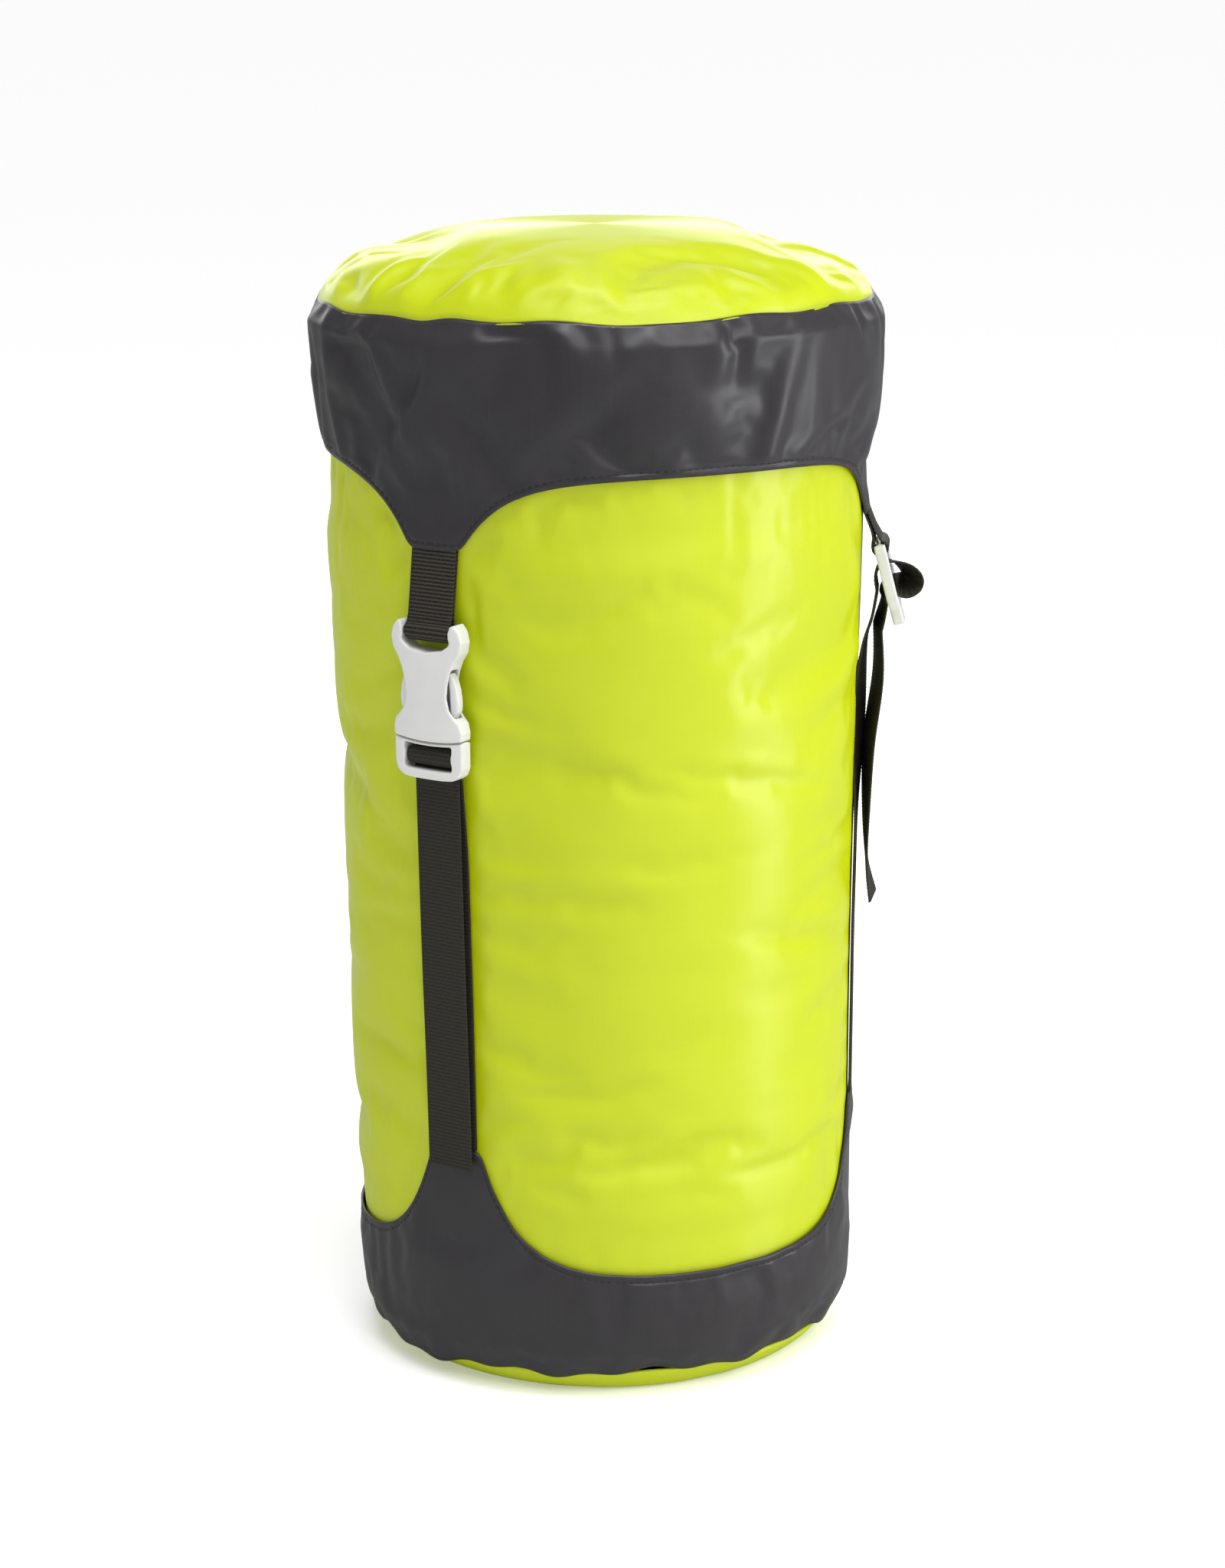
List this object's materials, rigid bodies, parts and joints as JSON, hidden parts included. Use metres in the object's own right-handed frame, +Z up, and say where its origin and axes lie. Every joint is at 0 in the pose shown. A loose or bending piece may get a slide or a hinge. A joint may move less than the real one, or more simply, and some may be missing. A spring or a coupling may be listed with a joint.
{
  "type": "stuff sack",
  "caption": "Cylindrical compression stuff sack with a lid, scalloped end bands and webbing straps with a side release buckle and ladder locks.",
  "frame": {"origin": "centre of the base panel's flat underside, which the sack stands on", "axes": "+Z up the sack towards its lid, -Y towards the front strap with the side release buckle, +X to the right of it"},
  "size_m": [0.2202, 0.2174, 0.427],
  "materials": {
    "lime_nylon": "silky coated nylon, lime green",
    "dark_nylon": "coated nylon, charcoal with a soft sheen",
    "webbing": "ribbed black webbing",
    "grey_plastic": "light grey acetal, glossy",
    "black_plastic": "black plastic",
    "cord": "braided black cord",
    "steel": "spring steel"
  },
  "bodies": {
    "sack": {"sack_body": "lime_nylon", "base_panel": "lime_nylon", "base_band": "dark_nylon", "load_strap_a": "webbing", "load_strap_b": "webbing", "load_strap_c": "webbing"},
    "mouth": {"mouth_hem": "lime_nylon", "drawcord": "cord"},
    "cord_lock": {"cord_lock": "black_plastic", "cord_lock_spring": "steel"},
    "cord_lock_button": {"cord_lock_button": "black_plastic"},
    "buckle_male": {"buckle_male": "grey_plastic", "webbing_wrap_a": "webbing"},
    "latch_left": {"latch_left": "grey_plastic"},
    "latch_right": {"latch_right": "grey_plastic"},
    "rear_lock_b": {"ladder_lock_b": "grey_plastic", "webbing_wrap_b": "webbing"},
    "rear_lock_c": {"ladder_lock_c": "grey_plastic", "webbing_wrap_c": "webbing"},
    "lid": {"lid_panel": "lime_nylon", "lid_band": "dark_nylon", "tab_a": "webbing", "tab_b": "webbing", "tab_c": "webbing", "buckle_female": "grey_plastic"},
    "tail_a": {"tail_a": "webbing"},
    "tail_b": {"tail_b": "webbing"},
    "tail_c": {"tail_c": "webbing"}
  },
  "joints": [
    {"name": "strap_a_tighten", "type": "slide", "parent": "sack", "child": "buckle_male", "axis": [0, 0, 1], "range_m": [-0.085, 0], "deforming": ["sack_body", "load_strap_a"]},
    {"name": "strap_b_tighten", "type": "slide", "parent": "sack", "child": "rear_lock_b", "axis": [0, 0, 1], "range_m": [-0.085, 0], "deforming": ["load_strap_b"]},
    {"name": "strap_c_tighten", "type": "slide", "parent": "sack", "child": "rear_lock_c", "axis": [0, 0, 1], "range_m": [-0.085, 0], "deforming": ["load_strap_c"]},
    {"name": "mouth_lower", "type": "slide", "parent": "sack", "child": "mouth", "axis": [0, 0, 1], "range_m": [-0.085, 0]},
    {"name": "lid_open", "type": "hinge", "parent": "rear_lock_b", "child": "lid", "pos_m": [0, 0.05412, 0.31325], "axis": [-1, 0, 0], "range_deg": [0, 70], "deforming": ["tab_b", "tab_c"]},
    {"name": "latch_left_press", "type": "hinge", "parent": "buckle_male", "child": "latch_left", "pos_m": [-0.0103, -0.1065, 0.261], "axis": [0, 1, 0], "range_deg": [0, 10], "stiffness_Nm_per_rad": 0.4},
    {"name": "latch_right_press", "type": "hinge", "parent": "buckle_male", "child": "latch_right", "pos_m": [0.0103, -0.1065, 0.261], "axis": [0, -1, 0], "range_deg": [0, 10], "stiffness_Nm_per_rad": 0.4},
    {"name": "tail_a_swing", "type": "hinge", "parent": "buckle_male", "child": "tail_a", "pos_m": [0, -0.1039, 0.24], "axis": [-1, 0, 0], "range_deg": [0, 90]},
    {"name": "tail_b_swing", "type": "hinge", "parent": "rear_lock_b", "child": "tail_b", "pos_m": [0.09301, 0.0537, 0.28], "axis": [0.5, -0.866, 0], "range_deg": [0, 70]},
    {"name": "tail_c_swing", "type": "hinge", "parent": "rear_lock_c", "child": "tail_c", "pos_m": [-0.09301, 0.0537, 0.28], "axis": [0.5, 0.866, 0], "range_deg": [0, 70]},
    {"name": "cord_lock_slide", "type": "slide", "parent": "mouth", "child": "cord_lock", "axis": [0, -1, 0], "range_m": [-0.004, 0.02]},
    {"name": "cord_lock_press", "type": "slide", "parent": "cord_lock", "child": "cord_lock_button", "axis": [-1, 0, 0], "range_m": [0, 0.0025], "stiffness_N_per_m": 800, "deforming": ["cord_lock_spring"]}
  ],
  "couplings": [
    {"joint": "strap_b_tighten", "follows": "strap_a_tighten", "ratio": 1},
    {"joint": "strap_c_tighten", "follows": "strap_a_tighten", "ratio": 1},
    {"joint": "mouth_lower", "follows": "strap_a_tighten", "ratio": 1}
  ]
}
